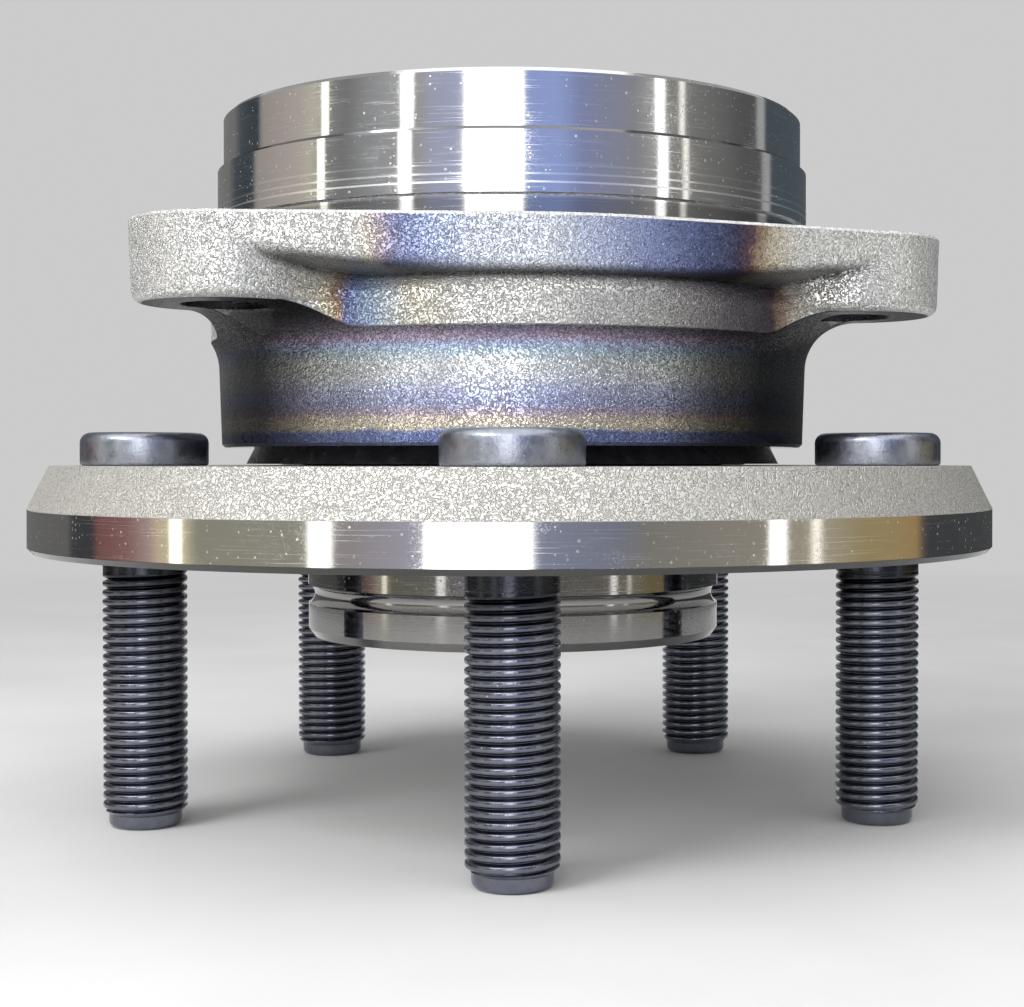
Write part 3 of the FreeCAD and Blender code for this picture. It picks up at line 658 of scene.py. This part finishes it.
def build_lights():
    card("window", -6.6, 20.0, 2.6, (1.0, 1.0, 1.0))
    card("left_front", -37.5, 4.6, 2.4, (1.0, 1.0, 0.98))
    card("left_edge", -71.0, 3.2, 2.0, (1.0, 0.98, 0.84))
    card("right_front", 53.6, 3.8, 2.2, (1.0, 1.0, 1.0))
    card("right_edge", 63.0, 2.4, 1.2, (1.0, 0.98, 0.9))
    area_light("overhead", Vector((-0.15, -0.42, 0.80)), Vector((-0.15, -0.42, 0.0)), 1.5, 1.3, 1.3)
    area_light("upper_left", Vector((-0.55, -0.55, 0.50)), Vector((0, 0, 0.04)), 0.45, 0.45, 9.0)


# Soft screen round the object: (azimuth in degrees, colour) of its upper and its lower half
SCREEN_HIGH = [
    (-160, (0.20, 0.20, 0.20)), (-133, (0.20, 0.20, 0.19)), (-125, (0.075, 0.09, 0.10)),
    (-110, (0.05, 0.065, 0.075)), (-107, (0.40, 0.36, 0.33)), (-84, (0.55, 0.49, 0.44)),
    (-76, (0.62, 0.60, 0.48)), (-69, (0.30, 0.30, 0.29)), (-62, (0.24, 0.24, 0.24)),
    (-44, (0.42, 0.43, 0.43)), (-34, (0.44, 0.42, 0.40)), (-28, (0.46, 0.49, 0.62)),
    (-18, (0.52, 0.55, 0.74)), (-17.5, (0.90, 0.90, 0.92)), (4.2, (0.90, 0.90, 0.92)),
    (4.8, (0.38, 0.48, 0.86)), (16, (0.38, 0.48, 0.86)), (24, (0.29, 0.33, 0.54)),
    (34, (0.31, 0.33, 0.44)), (44, (0.33, 0.33, 0.36)), (50, (0.44, 0.44, 0.42)),
    (58, (0.31, 0.30, 0.27)), (72, (0.22, 0.22, 0.21)), (92, (0.12, 0.12, 0.12)),
    (102, (0.11, 0.11, 0.11)), (104, (0.46, 0.46, 0.45)), (108, (0.46, 0.46, 0.45)),
    (109.5, (0.08, 0.10, 0.115)), (160, (0.08, 0.10, 0.115)),
]
SCREEN_LOW = [
    (-160, (0.155, 0.155, 0.15)), (-110, (0.155, 0.155, 0.15)), (-107, (0.06, 0.065, 0.07)),
    (-98.5, (0.06, 0.06, 0.065)), (-96, (0.24, 0.11, 0.105)), (-86, (0.30, 0.15, 0.14)),
    (-79, (0.48, 0.36, 0.34)), (-76, (0.70, 0.59, 0.40)), (-69, (0.72, 0.66, 0.46)),
    (-66, (0.34, 0.34, 0.27)), (-40, (0.36, 0.35, 0.29)), (-31, (0.38, 0.35, 0.36)),
    (-17, (0.47, 0.47, 0.58)), (-16, (0.90, 0.90, 0.90)), (3.6, (0.90, 0.90, 0.90)),
    (4.4, (0.30, 0.33, 0.46)), (20, (0.24, 0.26, 0.33)), (26, (0.27, 0.26, 0.24)),
    (48, (0.34, 0.32, 0.27)), (66, (0.46, 0.42, 0.32)), (76, (0.40, 0.33, 0.17)), (94, (0.42, 0.29, 0.13)),
    (96.5, (0.10, 0.08, 0.08)), (99, (0.06, 0.065, 0.07)), (160, (0.065, 0.065, 0.065)),
]


def build_screen():
    """Toned glowing screen at the sides and in front, a light seen by the metal and not by the camera."""
    g = Graph("screen_look")
    place, x, y, z, radius = g.place()
    azimuth = g.math("MULTIPLY", g.math("ARCTAN2", x, g.math("MULTIPLY", y, -1.0)), 180 / math.pi)
    upper = g.span(z, *screen_change_mm)
    tone = g.mix(upper, g.bands(azimuth, SCREEN_LOW), g.bands(azimuth, SCREEN_HIGH))
    glow = g.node("ShaderNodeEmission")
    g.feed(glow.inputs["Color"], tone)
    g.feed(g.tree.nodes["Material Output"].inputs["Surface"], glow.outputs[0])
    points = []
    for i in range(screen_panels + 1):
        turn = math.radians(-screen_half_deg + 2 * screen_half_deg * i / screen_panels)
        for level in (stud_tip_z * MM + 0.001, screen_top):
            points.append((math.sin(turn) * screen_r, -math.cos(turn) * screen_r, level))
    faces = [(2 * i, 2 * i + 2, 2 * i + 3, 2 * i + 1) for i in range(screen_panels)]
    mesh = bpy.data.meshes.new("screen")
    mesh.from_pydata(points, [], faces)
    mesh.materials.append(g.material)
    screen = link(bpy.data.objects.new("screen", mesh))
    screen.visible_camera = False
    screen.visible_diffuse = False
    screen.visible_shadow = False


def build_world():
    """Even pale surroundings."""
    world = bpy.data.worlds.new("studio")
    bpy.context.scene.world = world
    world.use_nodes = True
    tree = world.node_tree
    background = tree.nodes["Background"]
    coords = tree.nodes.new("ShaderNodeTexCoord")
    parts = tree.nodes.new("ShaderNodeSeparateXYZ")
    tree.links.new(coords.outputs["Generated"], parts.inputs[0])
    ramp = tree.nodes.new("ShaderNodeValToRGB")
    tree.links.new(parts.outputs[2], ramp.inputs[0])
    stops = [(0.0, backdrop_tone), (0.3, backdrop_tone), (0.6, 0.40)]
    elements = ramp.color_ramp.elements
    elements.new(0.5)
    for element, (position, tone) in zip(elements, stops):
        element.position = position
        element.color = (tone, tone, tone, 1.0)
    tree.links.new(ramp.outputs[0], background.inputs[0])


def build_floor():
    """Pale floor under the stud tips; far from the object it takes the backdrop's tone."""
    g = Graph("floor_look")
    place, x, y, z, radius = g.place()
    cloud = g.noise(place, 0.02, 3.0)
    g.surface(g.bands(cloud, [(0.3, (0.60, 0.60, 0.60)), (0.7, (0.66, 0.66, 0.66))]), 0.75, 0.0)
    rays = g.node("ShaderNodeLightPath")
    seen = g.math("MAXIMUM", rays.outputs["Is Camera Ray"], rays.outputs["Is Glossy Ray"])
    seen = g.math("MAXIMUM", seen, rays.outputs["Is Transmission Ray"])
    far = g.math("MULTIPLY", g.span(radius, *floor_fade_mm), seen)
    glow = g.node("ShaderNodeEmission")
    glow.inputs["Color"].default_value = (backdrop_tone, backdrop_tone, backdrop_tone, 1.0)
    mixer = g.node("ShaderNodeMixShader")
    g.feed(mixer.inputs[0], far)
    g.feed(mixer.inputs[1], g.shader.outputs[0])
    g.feed(mixer.inputs[2], glow.outputs[0])
    g.feed(g.tree.nodes["Material Output"].inputs["Surface"], mixer.outputs[0])
    level = stud_tip_z * MM
    corners = [(-floor_half, -floor_half), (floor_half, -floor_half), (floor_half, floor_half),
               (-floor_half, floor_half)]
    mesh = bpy.data.meshes.new("floor")
    mesh.from_pydata([(*corner, level) for corner in corners], [], [(0, 1, 2, 3)])
    mesh.materials.append(g.material)
    link(bpy.data.objects.new("floor", mesh))


def main():
    dress(ring_material(), "outer_ring")
    dress(hub_material(), "hub_spindle")
    ground = plain_steel_material("bearing_steel_look", (0.74, 0.74, 0.76), 0.08, 0.18)
    pressed = plain_steel_material("seal_steel_look", (0.55, 0.55, 0.56), 0.25, 0.4)
    balls = ["%s_ball_%02d" % (side, i + 1) for side in ("outboard", "inboard") for i in range(15)]
    dress(ground, "inner_ring", *balls)
    dress(pressed, "outboard_seal_case", "inboard_seal_case", "inboard_slinger")
    dress(rubber_material(), "outboard_seal_lip", "inboard_seal_lip")
    dress(plain_moulded_material("encoder_look", (0.06, 0.045, 0.035), 0.45), "encoder_ring")
    dress(plain_moulded_material("cage_look", (0.50, 0.40, 0.22), 0.4), "outboard_cage", "inboard_cage")
    build_studs(stud_material())
    build_camera()
    build_lights()
    build_screen()
    build_world()
    build_floor()


main()
bpy.context.scene.view_settings.view_transform = "Standard"
